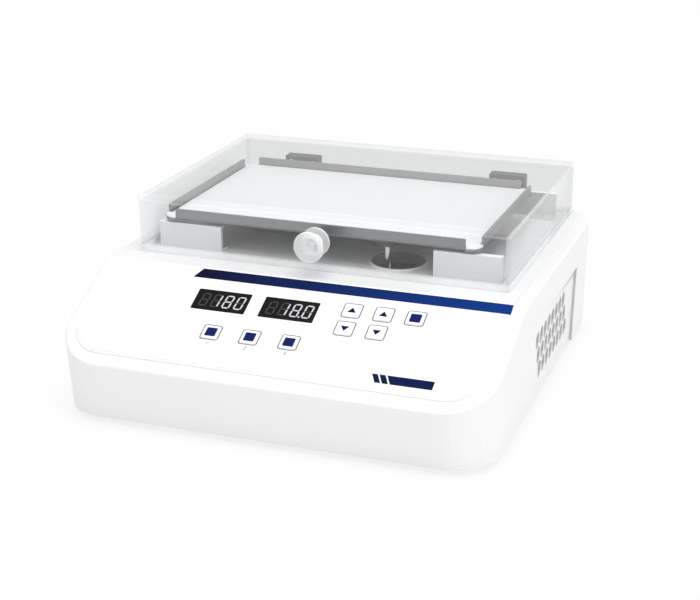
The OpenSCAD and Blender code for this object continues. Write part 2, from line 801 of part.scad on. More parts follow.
// A flanged cup for two bearings
module bearing_cup(b, len) {
    difference() {
        union() {
            cylinder(r = b[1] + cup_flange, h = cup_foot);
            cylinder(r = b[1] + 3, h = len);
        }
        for (a = [30:120:270]) rotate(a) translate([b[1] + cup_flange - 2.4, 0, -1])
            cylinder(r = small_screw[0], h = cup_foot + 2);
        translate([0, 0, -1]) cylinder(r = b[1] - 2, h = len + 2);
        translate([0, 0, -1]) cylinder(r = b[1], h = b[2] + 1);
        translate([0, 0, len - b[2]]) cylinder(r = b[1], h = b[2] + 1);
    }
}

// A shielded ball bearing: two rings with the shields set back
module bearing(b) {
    mid = (b[0] + b[1]) / 2;
    half = (b[1] - b[0]) / 5;
    rotate_extrude() difference() {
        translate([b[0] + run_fit, 0]) square([b[1] - b[0] - run_fit, b[2]]);
        translate([mid - half, -1]) square([2 * half, 1.4]);
        translate([mid - half, b[2] - 0.4]) square([2 * half, 1.4]);
    }
}

module drive_bearing_housing() {
    color("silver") at(drive_at, plate_top) bearing_cup(drive_bearing, drive_cup_len);
}

module drive_bearings() {
    color("gainsboro") at(drive_at, plate_top) {
        bearing(drive_bearing);
        translate([0, 0, drive_cup_len - drive_bearing[2]]) bearing(drive_bearing);
    }
}

module idler_bearing_housings() {
    color("silver") for (p = idlers) at(p, plate_top) bearing_cup(idler_bearing, idler_cup_len);
}

module idler_bearings() {
    color("gainsboro") for (p = idlers) at(p, plate_top) {
        bearing(idler_bearing);
        translate([0, 0, idler_cup_len - idler_bearing[2]]) bearing(idler_bearing);
    }
}

// The drive shaft with its web and the balance weight opposite the pin
module drive_crank() {
    shaft_foot = belt_z - 4;
    weight_r = 40;
    color("silver") at(drive_at) difference() {
        union() {
            translate([0, 0, shaft_foot]) cylinder(r = shaft_r, h = web_top - shaft_foot);
            translate([0, 0, web_top - web_t]) cylinder(r = 20, h = web_t);
            translate([0, 0, web_top - web_t]) rotate(rest_angle + 180) intersection() {
                cylinder(r = weight_r, h = web_t);
                translate([8, -30, 0]) cube([weight_r, 60, web_t]);
            }
        }
        translate([shift[0], shift[1], web_top - web_t - 1]) cylinder(r = drive_pin_r, h = web_t + 2);
    }
}

module drive_pin() {
    color("gainsboro") at(drive_at + shift, web_top - web_t)
        cylinder(r = drive_pin_r, h = tray_z - 1 - web_top + web_t);
}

// A flat-belt pulley with two flanges and a hub
module pulley(r, bore, hub_r) {
    rotate_extrude() difference() {
        union() {
            translate([bore, 0]) square([hub_r - bore, belt_w + 6]);
            translate([bore, 1]) square([r - bore, belt_w + 2]);
            translate([bore, 1]) square([r + 2.5 - bore, 1]);
            translate([bore, belt_w + 2]) square([r + 2.5 - bore, 1]);
        }
        if (r > hub_r + 14) {
            translate([hub_r + 2, -1]) square([r - hub_r - 7, 4]);
            translate([hub_r + 2, belt_w + 1]) square([r - hub_r - 7, 4]);
        }
    }
}

module driven_pulley() {
    color("dimgray") at(drive_at, belt_z - 2) pulley(driven_r, shaft_r, 12);
}

module motor_pulley() {
    color("silver") at(motor_at) {
        translate([0, 0, belt_z - 2]) pulley(motor_pulley_r, motor_shaft_r - 1, 8);
        translate([0, 0, belt_z - 2]) cylinder(r = motor_shaft_r, h = plate_top + 10 - belt_z + 2);
    }
}

module drive_belt() {
    module loop(extra) {
        hull() {
            translate(drive_at) circle(driven_r + gap + extra, $fn = 72);
            translate(motor_at) circle(motor_pulley_r + gap + extra, $fn = 40);
        }
    }
    color("dimgray") translate([0, 0, belt_z + gap]) linear_extrude(belt_w - 2 * gap) difference() {
        loop(belt_t);
        loop(0);
    }
}

module drive_motor() {
    color("dimgray") at(motor_at, plate_top) difference() {
        union() {
            cylinder(r = motor_r, h = 6);
            translate([0, 0, 6]) cylinder(r = motor_r - 1.2, h = motor_len - 12);
            translate([0, 0, motor_len - 6]) cylinder(r = motor_r, h = 6);
        }
        translate([0, 0, -1]) cylinder(r = motor_shaft_r + run_fit, h = 12);
        for (a = [45:90:315]) rotate(a) translate([motor_r - 7, 0, -1]) cylinder(r = screw_m3[0], h = 7);
    }
}

// Screws of the bearing housings
module cup_screw_places() {
    for (c = [[drive_at, drive_bearing], [idlers[0], idler_bearing], [idlers[1], idler_bearing],
            [idlers[2], idler_bearing]], a = [30:120:270])
        at(c[0], plate_top) rotate(a) translate([c[1][1] + cup_flange - 2.4, 0, 0]) children();
}

// Screws of the motor, of the plate on its posts and of the bearing housings
module drive_screws() {
    color("silver") {
        motor_screw_places() translate([0, 0, 1]) screw(screw_m3, plate_t + 5);
        for (p = posts) at(p, plate_top) mirror([0, 0, 1]) screw(screw_m4, plate_t + 9);
        cup_screw_places() translate([0, 0, cup_foot]) mirror([0, 0, 1])
            screw(small_screw, cup_foot + plate_t + 1);
    }
}

// Crank of an idler: shaft, web and pin in one piece
module idler_crank(p) {
    shaft_top = plate_top + idler_cup_len + 3;
    color("gainsboro") at(p) {
        translate([0, 0, plate_top + gap]) cylinder(r = idler_shaft_r, h = idler_cup_len + 4);
        translate([0, 0, shaft_top]) cylinder(r = idler_web_r, h = idler_web_t);
        translate([shift[0], shift[1], shaft_top + eps])
            cylinder(r = idler_pin_r, h = tray_z - 1 - shaft_top - eps);
    }
}

module idler_crank_front() { idler_crank(idlers[0]); }
module idler_crank_back() { idler_crank(idlers[1]); }
module idler_crank_left() { idler_crank(idlers[2]); }

// Tray

// One lip: the sheet's edge, bent up on a radius
module lip(len) {
    out_r = bend_r + tray_t;
    height = lip_top - tray_rise;
    rotate([90, 0, 90]) translate([0, 0, -len / 2]) linear_extrude(len) {
        translate([0, out_r]) square([tray_t, height - out_r]);
        intersection() {
            translate([out_r, out_r]) difference() {
                circle(out_r);
                circle(bend_r);
            }
            square(out_r);
        }
    }
}

module tray_outline() {
    lip_in = bend_r + tray_t;
    intersection() {
        rounded_rect(tray_w, tray_d, tray_corner_r);
        union() {
            square([tray_w - 2 * lip_in, tray_d - 2 * lip_in], center = true);
            for (sx = [-1, 1], sy = [-1, 1])
                translate([sx * (tray_w / 2 - notch / 2), sy * (tray_d / 2 - notch / 2)])
                    square(notch, center = true);
        }
    }
}

module tray() {
    color("silver") at(drive_at + shift, tray_z) difference() {
        union() {
            linear_extrude(tray_t) tray_outline();
            for (a = [0, 180]) rotate(a) translate([0, -tray_d / 2, 0]) lip(tray_w - 2 * notch);
            for (a = [90, 270]) rotate(a) translate([0, -tray_w / 2, 0]) lip(tray_d - 2 * notch);
        }
        hub_screw_places() translate([0, 0, -1]) cylinder(r = small_screw[0], h = tray_t + 2);
    }
}

module tray_mat() {
    lip_in = bend_r + tray_t + 0.2;
    color("white") at(drive_at + shift, tray_z + tray_t)
        linear_extrude(mat_t) intersection() {
            rounded_rect(tray_w - 1, tray_d - 1, tray_corner_r - 0.5);
            union() {
                square([tray_w - 2 * lip_in, tray_d - 2 * lip_in], center = true);
                for (sx = [-1, 1], sy = [-1, 1])
                    translate([sx * (tray_w / 2 - notch / 2), sy * (tray_d / 2 - notch / 2)])
                        square(notch - 0.8, center = true);
            }
        }
}

// Screws of the hubs, in the tray's own frame
module hub_screw_places() {
    for (a = [0:120:240]) rotate(a)
        translate([drive_pin_bearing[1] + hub_wall + 3, 0, 0]) children();
    for (p = idlers, a = [0:120:240]) translate(p - drive_at) rotate(a)
        translate([idler_pin_bearing[1] + hub_wall + 3, 0, 0]) children();
}

module pin_hub(b) {
    translate([0, 0, -b[2] - 1]) difference() {
        union() {
            cylinder(r = b[1] + hub_wall, h = b[2] + 1);
            translate([0, 0, b[2] + 1 - hub_flange_t])
                cylinder(r = b[1] + hub_wall + hub_flange, h = hub_flange_t);
        }
        translate([0, 0, -1]) cylinder(r = b[1], h = b[2] + 1.4);
        translate([0, 0, -1]) cylinder(r = b[1] - 2, h = b[2] + 3);
    }
}

module pin_hubs() {
    color("silver") at(drive_at + shift, tray_z) difference() {
        union() {
            pin_hub(drive_pin_bearing);
            for (p = idlers) translate(p - drive_at) pin_hub(idler_pin_bearing);
        }
        hub_screw_places() translate([0, 0, -3]) cylinder(r = small_screw[0], h = 4);
    }
}

module hub_screws() {
    color("silver") at(drive_at + shift, tray_z + tray_t) hub_screw_places()
        mirror([0, 0, 1]) cylinder(r = small_screw[0], h = tray_t + hub_flange_t);
}

module pin_bearings() {
    color("gainsboro") at(drive_at + shift, tray_z) {
        translate([0, 0, -drive_pin_bearing[2] - 0.8]) bearing(drive_pin_bearing);
        for (p = idlers) translate(p - drive_at)
            translate([0, 0, -idler_pin_bearing[2] - 0.8]) bearing(idler_pin_bearing);
    }
}

// Cover

module lid_cover() {
    color("aliceblue", 0.4) difference() {
        translate([0, centre_y, deck_h + gap]) block(cover_w, cover_d, cover_h - gap, 1.2);
        translate([0, centre_y, deck_h - 1])
            block(cover_w - 2 * cover_t, cover_d - 2 * cover_t, cover_h - cover_t + 1, 0.8);
        translate([0, cover_front - 1, deck_h + knob_z]) rotate([-90, 0, 0])
            cylinder(r = screw_m4[0] + screw_play, h = cover_t + 2);
        lid_screw_places() translate([0, -1, 0]) rotate([-90, 0, 0])
            cylinder(r = screw_m3[0] + screw_play, h = cover_t + 2);
    }
}

module lid_knob() {
    profile_r = knob_r - 1;
    color("aliceblue", 0.5) translate([0, cover_front, deck_h + knob_z]) rotate([90, 0, 0]) rotate_extrude()
        difference() {
            union() {
                square([profile_r, 2.5]);
                translate([profile_r - 1, 1.2]) circle(1.2);
                square([6.5, knob_len - 3]);
                translate([0, knob_len - 5]) square([knob_r - 2, 4]);
                translate([knob_r - 2, knob_len - 3]) circle(2);
                translate([0, knob_len - 2]) square([knob_r - 3.5, 1.6]);
            }
            translate([-1, -1]) square([1 + screw_m4[0], 11]);
            translate([-2 * knob_r, -1]) square([2 * knob_r, knob_len + 4]);
            translate([0, -2]) square([2 * knob_r, 2]);
        }
}

module knob_screw() {
    color("silver") translate([0, cover_front + cover_t, deck_h + knob_z]) rotate([90, 0, 0])
        screw(screw_m4, cover_t + 8);
}

module hinge_places() {
    for (s = [-1, 1]) translate([s * hinge_span / 2, 0, 0]) children();
}

module lid_screw_places() {
    hinge_places() for (s = [-1, 1], z = lid_screw_z)
        translate([s * hinge_screw_x, cover_back - cover_t, deck_h + z]) children();
}

module hinge_lid_leaves() {
    color("gray") hinge_places() difference() {
        union() {
            translate([-hinge_w / 2, cover_back, deck_h + 7]) cube([hinge_w, leaf_t, hinge_top - 7]);
            translate([-knuckle_len / 2, cover_back, hinge_z + gap])
                cube([knuckle_len, hinge_back - knuckle_web, web_half - gap]);
            translate([-knuckle_len / 2, cover_back, hinge_z + gap]) cube([knuckle_len, leaf_t, 6]);
            translate([-knuckle_len / 2, hinge_y, hinge_z]) rotate([0, 90, 0])
                cylinder(r = knuckle_r, h = knuckle_len);
        }
        translate([-hinge_w, hinge_y, hinge_z]) rotate([0, 90, 0])
            cylinder(r = hinge_pin_r + run_fit, h = 2 * hinge_w);
        for (s = [-1, 1], z = lid_screw_z)
            translate([s * hinge_screw_x, cover_back - 1, deck_h + z]) rotate([-90, 0, 0])
                cylinder(r = screw_m3[0] + screw_play, h = leaf_t + 2);
    }
}

module hinge_clamps() {
    color("dimgray") hinge_places() difference() {
        translate([0, cover_back - cover_t, deck_h + clamp_foot]) rotate([90, 0, 0])
            linear_extrude(clamp_t) translate([0, clamp_h / 2]) rounded_rect(hinge_w, clamp_h, 1);
        // Shallow field sunk in the face
        translate([0, cover_back - cover_t - clamp_t + clamp_field, deck_h + clamp_foot]) rotate([90, 0, 0])
            linear_extrude(2) translate([0, clamp_h / 2]) square([hinge_w - 5, clamp_h - 5], center = true);
        for (s = [-1, 1], z = lid_screw_z)
            translate([s * hinge_screw_x, cover_back - cover_t - clamp_t - 1, deck_h + z]) rotate([-90, 0, 0])
                cylinder(r = screw_m3[0] + screw_play, h = clamp_t + 2);
    }
}

module lid_screws() {
    seat = cover_back - cover_t - clamp_t + clamp_field;
    color("silver") hinge_places() for (s = [-1, 1], z = lid_screw_z)
        translate([s * hinge_screw_x, seat, deck_h + z]) rotate([-90, 0, 0])
            screw([screw_m3[0], 2.6, clamp_field], cover_back + leaf_t - seat);
}

module hinge_base_leaves() {
    side_len = (hinge_w - knuckle_len) / 2 - gap;
    color("gray") hinge_places() difference() {
        union() {
            translate([-hinge_w / 2, hinge_y - knuckle_r, deck_h])
                cube([hinge_w, knuckle_r + hinge_tail, hinge_foot_t]);
            for (s = [-1, 1]) {
                translate([s > 0 ? hinge_w / 2 - side_len : -hinge_w / 2, hinge_y, hinge_z]) rotate([0, 90, 0])
                    cylinder(r = knuckle_r, h = side_len);
                translate([s > 0 ? hinge_w / 2 - side_len : -hinge_w / 2, hinge_y - web_half, deck_h])
                    cube([side_len, 2 * web_half, hinge_rise - knuckle_web]);
            }
        }
        translate([-hinge_w, hinge_y, hinge_z]) rotate([0, 90, 0]) cylinder(r = hinge_pin_r, h = 2 * hinge_w);
        for (s = [-1, 1]) translate([s * hinge_screw_x, hinge_screw_y, deck_h - 1])
            cylinder(r = screw_m3[0] + screw_play, h = hinge_foot_t + 1 + gap / 2);
    }
}

module hinge_pins() {
    color("silver") hinge_places() translate([-hinge_w / 2 - 0.5, hinge_y, hinge_z]) rotate([0, 90, 0])
        cylinder(r = hinge_pin_r, h = hinge_w + 1);
}

module hinge_screws() {
    color("silver") hinge_places() for (s = [-1, 1])
        translate([s * hinge_screw_x, hinge_screw_y, deck_h + hinge_foot_t]) mirror([0, 0, 1])
            screw([screw_m3[0], 2.3, 1.2], hinge_foot_t + skin + 2);
}

// Back panel

// Outline of the inlet's mouth: a rectangle whose two upper corners are cut off
module mouth_outline(w, h, cut) {
    polygon([[-w / 2, h / 2], [w / 2, h / 2], [w / 2, cut - h / 2], [w / 2 - cut, -h / 2],
        [cut - w / 2, -h / 2], [-w / 2, cut - h / 2]]);
}

module mains_inlet() {
    mouth = [24.4, 16.4];
    cut = 4.6;
    lip = 1.4;
    color("dimgray") translate([inlet_x, back_y - recess_t, socket_z]) rotate([-90, 0, 0]) difference() {
        union() {
            block(socket_w[0] + 8, socket_w[1] + 6, recess_t, 3);
            translate([0, 0, -inlet_body]) block(socket_w[0] - 2 * gap, socket_w[1] - 2 * gap, inlet_body, 1);
        }
        translate([0, 0, -inlet_depth]) linear_extrude(inlet_depth + recess_t + 1)
            mouth_outline(mouth[0], mouth[1], cut);
        // Shallow step round the mouth
        translate([0, 0, recess_t - 0.6]) linear_extrude(1)
            mouth_outline(mouth[0] + 2 * lip, mouth[1] + 2 * lip, cut + 0.6);
    }
}

module inlet_pins() {
    color("silver") translate([inlet_x, back_y - recess_t, socket_z]) rotate([-90, 0, 0])
        for (p = [[-7, 0], [0, -3], [7, 0]])
            translate([p[0] - 1, p[1] - 2, -inlet_depth]) cube([2, 4, 12]);
}

module switch_frame() {
    bezel = 1.4;
    color("dimgray") difference() {
        translate([switch_x, back_y - recess_t, socket_z]) rotate([-90, 0, 0]) difference() {
            union() {
                block(switch_w[0] + 2 * bezel, switch_w[1] + 2 * bezel, 1.6, 1.5);
                translate([0, 0, -switch_depth]) block(switch_w[0], switch_w[1], switch_depth, 0.8);
            }
            translate([0, 0, -switch_depth / 2])
                block(switch_w[0] - 2 * switch_wall, switch_w[1] - 2.4 * switch_wall, switch_depth, 0.4);
        }
        // Seat of the rocker's pin
        translate([switch_x - switch_w[0], rocker_pin_y, socket_z]) rotate([0, 90, 0])
            cylinder(r = rocker_pin_r + run_fit, h = 2 * switch_w[0]);
    }
}

// Rocker: a shallow vee that tips about a pin below its middle
module power_rocker() {
    w = switch_w[0] - 2 * switch_wall - 2 * gap;
    pin = switch_w[0] - switch_wall / 2;
    half = switch_w[1] / 2 - 1.2 * switch_wall - 1;
    color("black") translate([switch_x, rocker_pin_y, socket_z]) rotate([rocker_swing, 0, 0]) {
        rotate([90, 0, 90]) translate([0, 0, -w / 2]) linear_extrude(w)
            polygon([[-2.2, -3.4], [-2.2, 3.4], [1, half], [4.6, half], [3.9, 0], [4.6, -half], [1, -half]]);
        translate([-pin / 2, 0, 0]) rotate([0, 90, 0]) cylinder(r = rocker_pin_r, h = pin);
    }
}

module fuse_holder() {
    color("dimgray") translate([fuse_x, back_y - recess_t, socket_z]) rotate([-90, 0, 0]) difference() {
        union() {
            cylinder(r = 8, h = 1.4);
            translate([0, 0, -22]) cylinder(r = fuse_r, h = 22);
            cylinder(r = fuse_r - 0.5, h = recess_t);
        }
        translate([-4, -0.6, recess_t - 0.8]) cube([8, 1.2, 2]);
    }
}

upper_housing();
bottom_plate();
rubber_feet();
base_screws();
chamber_floor();
front_guard_left();
front_guard_right();
back_guard();
guard_screws();
control_overlay();
display_windows();
display_modules();
control_board();
key_switches();
board_screws();
power_supply();
drive_plate();
drive_posts();
drive_bearing_housing();
drive_bearings();
idler_bearing_housings();
idler_bearings();
drive_motor();
drive_screws();
drive_belt();
mains_inlet();
inlet_pins();
switch_frame();
fuse_holder();
hinge_base_leaves();
hinge_pins();
hinge_screws();
lid_cover();
lid_knob();
knob_screw();
hinge_lid_leaves();
hinge_clamps();
lid_screws();
drive_crank();
drive_pin();
driven_pulley();
motor_pulley();
idler_crank_front();
idler_crank_back();
idler_crank_left();
tray();
tray_mat();
pin_hubs();
pin_bearings();
hub_screws();
key_time_up();
key_time_down();
key_speed_up();
key_speed_down();
key_start();
key_program_1();
key_program_2();
key_program_3();
power_rocker();
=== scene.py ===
import math

import bmesh
import bpy
from mathutils import Matrix, Vector


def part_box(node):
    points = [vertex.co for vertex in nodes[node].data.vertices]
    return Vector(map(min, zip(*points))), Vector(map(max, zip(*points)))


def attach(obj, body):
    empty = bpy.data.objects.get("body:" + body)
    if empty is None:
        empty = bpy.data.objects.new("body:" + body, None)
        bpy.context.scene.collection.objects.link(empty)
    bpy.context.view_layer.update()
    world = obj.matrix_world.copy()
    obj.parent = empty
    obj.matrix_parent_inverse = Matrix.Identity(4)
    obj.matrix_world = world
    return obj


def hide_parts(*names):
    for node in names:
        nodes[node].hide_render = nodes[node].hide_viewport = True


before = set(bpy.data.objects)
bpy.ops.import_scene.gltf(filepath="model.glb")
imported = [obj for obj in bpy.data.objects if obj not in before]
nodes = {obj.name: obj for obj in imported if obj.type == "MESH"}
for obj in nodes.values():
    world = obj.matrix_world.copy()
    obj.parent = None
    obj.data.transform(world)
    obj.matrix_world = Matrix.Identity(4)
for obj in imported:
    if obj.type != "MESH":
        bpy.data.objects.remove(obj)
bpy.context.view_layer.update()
print("frame loaded:", len(nodes), "nodes")


# Shader maths and finishes

class Wire:
    # one output socket; sums on it add Math nodes
    def __init__(self, bench, socket):
        self.bench = bench
        self.socket = socket

    def math(self, operation, a, b):
        return self.bench.add("ShaderNodeMath", {"operation": operation}, {0: a, 1: b})

    def __add__(self, other):
        return self.math("ADD", self, other)

    def __sub__(self, other):
        return self.math("SUBTRACT", self, other)

    def __rsub__(self, other):
        return self.math("SUBTRACT", other, self)

    def __mul__(self, other):
        return self.math("MULTIPLY", self, other)

    __radd__ = __add__
    __rmul__ = __mul__

    def larger(self, other):
        return self.math("MAXIMUM", self, other)


class Bench:
    # a node tree and the one method that adds any node to it
    def __init__(self, tree):
        self.tree = tree

    def add(self, kind, settings=None, sockets=None, output=0):
        # any node: its settings first, then the values or links of its sockets
        node = self.tree.nodes.new(kind)
        for key, value in (settings or {}).items():
            if key == "stops":
                ramp = node.color_ramp
                while len(ramp.elements) < len(value):
                    ramp.elements.new(0.5)
                for element, (position, color) in zip(ramp.elements, value):
                    element.position = position
                    element.color = (*color, 1.0)
            else:
                setattr(node, key, value)
        for key, value in (sockets or {}).items():
            if isinstance(value, Wire):
                self.tree.links.new(value.socket, node.inputs[key])
            else:
                node.inputs[key].default_value = value
        return Wire(self, node.outputs[output])


class Finish(Bench):
    def __init__(self, name, color, roughness, metallic=0.0, **shaderValues):
        self.material = bpy.data.materials.new(name)
        self.material.use_nodes = True
        super().__init__(self.material.node_tree)
        self.shader = self.tree.nodes["Principled BSDF"]
        self.material.diffuse_color = (*color, 1.0)
        self.shader.inputs["Base Color"].default_value = (*color, 1.0)
        self.shader.inputs["Roughness"].default_value = roughness
        self.shader.inputs["Metallic"].default_value = metallic
        for socketName, value in shaderValues.items():
            self.shader.inputs[socketName.replace("_", " ")].default_value = value

    def feed(self, socketName, wire):
        self.tree.links.new(wire.socket, self.shader.inputs[socketName])

    def place(self, scale=(1.0, 1.0, 1.0), shift=(0.0, 0.0, 0.0)):
        spot = self.add("ShaderNodeTexCoord", output="Object")
        return self.add("ShaderNodeMapping", {}, {"Vector": spot, "Scale": scale, "Location": shift})

    def coordinate(self, axis):
        return self.add("ShaderNodeSeparateXYZ", {}, {0: self.place()}, output=axis)

    def noise(self, where, scale, detail=2.0):
        return self.add("ShaderNodeTexNoise", {}, {"Vector": where, "Scale": scale, "Detail": detail})

    def blendColors(self, factor, a, b):
        return self.add("ShaderNodeMix", {"data_type": "RGBA"}, {"Factor": factor, 6: a, 7: b}, output=2)

    def mixOut(self, share, first, second):
        # what shows is first where share is 0 and second where it is 1
        mixed = self.add("ShaderNodeMixShader", {}, {0: share, 1: first, 2: second})
        self.tree.links.new(mixed.socket, self.tree.nodes["Material Output"].inputs["Surface"])

    def over(self, value, level, soft=0.0002):
        # 1 where a value is over a level, 0 where it is under it
        return self.add("ShaderNodeMapRange", {}, {"Value": value, "From Min": level - soft,
                                                   "From Max": level + soft})

    def past(self, axis, level, soft=0.0002):
        return self.over(self.coordinate(axis), level, soft)

    def above(self, level, soft=0.0002):
        return self.past(2, level, soft)

    def near(self, centre, radius):
        # 1 inside a radius about a vertical axis, 0 outside it
        flat = self.place(scale=(1.0, 1.0, 0.0), shift=(-centre[0], -centre[1], 0.0))
        reach = self.add("ShaderNodeVectorMath", {"operation": "LENGTH"}, {0: flat}, output=1)
        return 1.0 - self.over(reach, radius)

    def overlay(self, factor, color):
        # lays one more colour over what already feeds Base Color
        link = self.shader.inputs["Base Color"].links[0]
        under = Wire(self, link.from_socket)
        self.feed("Base Color", self.blendColors(factor, under, (*color, 1)))

    def emboss(self, height, strength):
        self.feed("Normal", self.add("ShaderNodeBump", {}, {"Height": height, "Strength": strength,
                                                            "Distance": 0.0002}))


mottle = {
    "cloudScale": 14.0,
    "glossScale": 55.0,
    "glossSwing": 0.1,
    "lighterShare": 0.4,
}


def mottledFinish(name, color, roughness, metallic=0.0, grain=900.0, bump=0.12, tint=0.04, **more):
    # a base finish: faint colour clouds, uneven gloss and a fine grain
    finish = Finish(name, color, roughness, metallic, **more)
    where = finish.place()
    clouds = finish.noise(where, mottle["cloudScale"], 3.0)
    darker = tuple(channel * (1 - tint) for channel in color)
    lighter = tuple(min(1.0, channel * (1 + tint * mottle["lighterShare"])) for channel in color)
    finish.feed("Base Color", finish.blendColors(clouds, (*darker, 1), (*lighter, 1)))
    swing = mottle["glossSwing"]
    finish.feed("Roughness", finish.noise(where, mottle["glossScale"], 4.0) * swing + (roughness - swing / 2))
    finish.emboss(finish.noise(where, grain, 2.0), bump)
    return finish


brush = {
    "stretch": (30.0, 900.0, 900.0),
    "cloudScale": 22.0,
    "lineShare": 0.6,
    "darkest": 0.82,
    "glossSwing": 0.16,
    "bump": 0.1,
}


def brushedFinish(name, color, roughness):
    # fine lines from side to side
    finish = Finish(name, color, roughness, 1.0)
    lines = finish.noise(finish.place(scale=brush["stretch"]), 1.0, 3.0)
    clouds = finish.noise(finish.place(), brush["cloudScale"])
    darker = tuple(channel * brush["darkest"] for channel in color)
    streaks = lines * brush["lineShare"] + clouds * (1 - brush["lineShare"])
    finish.feed("Base Color", finish.blendColors(streaks, (*darker, 1), (*color, 1)))
    finish.feed("Roughness", lines * brush["glossSwing"] + (roughness - brush["glossSwing"] / 2))
    finish.emboss(lines, brush["bump"])
    return finish


turning = {
    "ringScale": 420.0,
    "waver": 0.6,
    "darkest": 0.88,
    "glossSwing": 0.08,
}


def turnedFinish(name, color, roughness):
    # rings about a vertical axis, as a lathe leaves them
    finish = Finish(name, color, roughness, 1.0)
    rings = finish.add("ShaderNodeTexWave", {"wave_type": "RINGS", "rings_direction": "Z"}, {
        "Vector": finish.place(),
        "Scale": turning["ringScale"],
        "Distortion": turning["waver"],
        "Detail": 2.0,
    })
    darker = tuple(channel * turning["darkest"] for channel in color)
    finish.feed("Base Color", finish.blendColors(rings, (*darker, 1), (*color, 1)))
    finish.feed("Roughness", rings * turning["glossSwing"] + roughness)
    return finish


acrylic = {
    "haze": (0.95, 0.955, 0.96),
    "ior": 1.49,
    "blueTint": (0.003, 0.005),
    "slantBlend": 0.25,
    "cloudScale": 9.0,
    "cloudShare": 0.03,
}


def clearFinish(name, clearness, haze, roughness, slantShare=0.2, foot=0.0, footZ=0.0):
    # clear sheet: it lets light through, glosses at a slant and holds a little white haze;
    # below footZ it is milkier, a pale band along the sheet's foot
    finish = Finish(name, acrylic["haze"], roughness, Coat_Weight=0.3, Coat_Roughness=0.03,
                    IOR=acrylic["ior"])
    green, blue = acrylic["blueTint"]
    tint = (clearness, clearness + green, clearness + blue, 1)
    through = finish.add("ShaderNodeBsdfTransparent", {}, {"Color": tint})
    slant = finish.add("ShaderNodeLayerWeight", {}, {"Blend": acrylic["slantBlend"]}, output=1)
    clouds = finish.noise(finish.place(), acrylic["cloudScale"])
    share = slant * slantShare + clouds * acrylic["cloudShare"] + haze
    if foot:
        share = share + (1.0 - finish.above(footZ, 0.0003)) * foot
    finish.mixOut(share, through, Wire(finish, finish.shader.outputs[0]))
    return finish


def paintNodes(finish, *names):
    for name in names:
        materials = nodes[name].data.materials
        materials.clear()
        materials.append(finish.material)


# Finishes of the frame's own nodes
housingWhite = mottledFinish("housingWhite", (0.8, 0.803, 0.808), 0.36, grain=1500.0, bump=0.05, tint=0.012)
floorWhite = mottledFinish("floorWhite", (0.8, 0.8, 0.805), 0.42, grain=1300.0, bump=0.06, tint=0.02)
filmWhite = mottledFinish("filmWhite", (0.815, 0.817, 0.82), 0.28, grain=2600.0, bump=0.03, tint=0.008)
keyWhite = mottledFinish("keyWhite", (0.84, 0.845, 0.855), 0.3, grain=2400.0, bump=0.03, tint=0.01)
smokedBlack = mottledFinish("smokedBlack", (0.008, 0.008, 0.009), 0.12, grain=600.0, bump=0.01, tint=0.2,
                            Specular_IOR_Level=0.05)
mouldedBlack = mottledFinish("mouldedBlack", (0.035, 0.036, 0.04), 0.5, grain=1700.0, bump=0.16, tint=0.15)
clampBlack = mottledFinish("clampBlack", (0.035, 0.036, 0.038), 0.42, grain=1500.0, bump=0.1, tint=0.15)
rubberBlack = mottledFinish("rubberBlack", (0.028, 0.028, 0.03), 0.75, grain=1200.0, bump=0.25, tint=0.2)
matWhite = mottledFinish("matWhite", (0.93, 0.931, 0.934), 0.6, grain=1900.0, bump=0.12, tint=0.015)
# Painted shade on the guards' faces, deeper on the back guard under the tray; the lips are a lit copy
guardShadedPaint = mottledFinish("guardShadedPaint", (0.72, 0.722, 0.73), 0.4, grain=1100.0, bump=0.08, tint=0.03)
backGuardShadedPaint = mottledFinish("backGuardShadedPaint", (0.5, 0.5, 0.505), 0.4, grain=700.0, bump=0.1, tint=0.08)
lipLitPaint = mottledFinish("lipLitPaint", (0.92, 0.922, 0.925), 0.4, grain=1100.0, bump=0.05, tint=0.02)
hubBlack = mottledFinish("hubBlack", (0.06, 0.062, 0.066), 0.4, 0.3, grain=900.0, bump=0.08, tint=0.15)
hingePaint = mottledFinish("hingePaint", (0.2, 0.205, 0.215), 0.38, 0.4, grain=1300.0, bump=0.1, tint=0.1)
sheetPaint = mottledFinish("sheetPaint", (0.6, 0.605, 0.61), 0.45, 0.3, grain=900.0, bump=0.12, tint=0.04)
motorPaint = mottledFinish("motorPaint", (0.05, 0.05, 0.055), 0.4, 0.3, grain=900.0, bump=0.15, tint=0.15)
boardGreen = mottledFinish("boardGreen", (0.03, 0.16, 0.075), 0.35, grain=500.0, bump=0.2, tint=0.25)
pinBrass = mottledFinish("pinBrass", (0.72, 0.56, 0.28), 0.25, 1.0, grain=700.0, bump=0.05, tint=0.06)
plateAluminium = mottledFinish("plateAluminium", (0.72, 0.73, 0.74), 0.34, 1.0, grain=700.0, bump=0.1)
trayBrushed = brushedFinish("trayBrushed", (0.27, 0.27, 0.275), 0.36)
pinPolished = turnedFinish("pinPolished", (0.82, 0.825, 0.83), 0.16)
bearingSteel = turnedFinish("bearingSteel", (0.68, 0.69, 0.7), 0.22)
crankSteel = turnedFinish("crankSteel", (0.55, 0.56, 0.57), 0.3)
screwSteel = mottledFinish("screwSteel", (0.62, 0.63, 0.64), 0.28, 1.0, grain=900.0, bump=0.08)
knobClear = clearFinish("knobClear", 0.99, 0.4, 0.05, slantShare=0.95)

